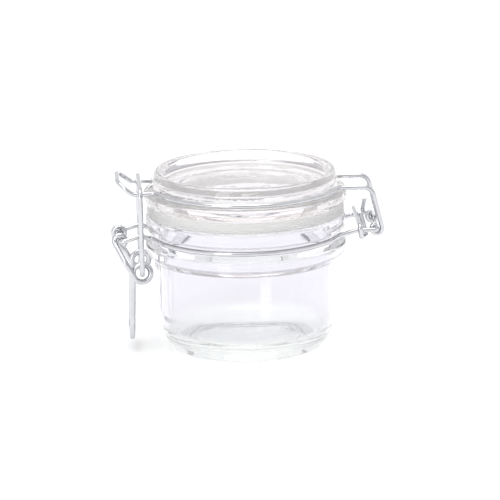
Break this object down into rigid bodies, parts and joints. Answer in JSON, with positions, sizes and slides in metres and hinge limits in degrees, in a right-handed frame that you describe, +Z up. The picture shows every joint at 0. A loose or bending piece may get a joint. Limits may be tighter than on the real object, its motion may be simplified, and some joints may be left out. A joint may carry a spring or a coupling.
{
  "type": "clip-top glass jar",
  "caption": "Small round glass jar with a hinged glass lid, soft seal, wire hinge and an over-centre wire latch.",
  "frame": {"origin": "on the jar's axis, in the plane of its resting ring", "axes": "+Z up along the jar's axis, +X towards the hinge, -X towards the latch"},
  "size_m": [0.0964, 0.072, 0.0639],
  "materials": {
    "clear_glass": "gloss",
    "seal": "satin",
    "steel_wire": "polished"
  },
  "bodies": {
    "jar": {"glass_jar": "clear_glass", "neck_wire": "steel_wire"},
    "lid": {"glass_lid": "clear_glass", "lid_wire": "steel_wire", "gasket": "seal"},
    "lever": {"lever_wire": "steel_wire"},
    "bail": {"bail_wire": "steel_wire"}
  },
  "joints": [
    {"name": "lid_hinge", "type": "hinge", "parent": "jar", "child": "lid", "pos_m": [0.0459, 0, 0.043], "axis": [0, 1, 0], "range_deg": [0, 110]},
    {"name": "lever_pivot", "type": "hinge", "parent": "jar", "child": "lever", "pos_m": [-0.0448, 0, 0.0403], "axis": [0, 1, 0], "range_deg": [0, 165]},
    {"name": "bail_swing", "type": "hinge", "parent": "lever", "child": "bail", "pos_m": [-0.0373, 0, 0.0294], "axis": [0, -1, 0], "range_deg": [0, 330]}
  ],
  "couplings": [
    {"joint": "bail_swing", "follows": "lever_pivot", "ratio": 2}
  ]
}
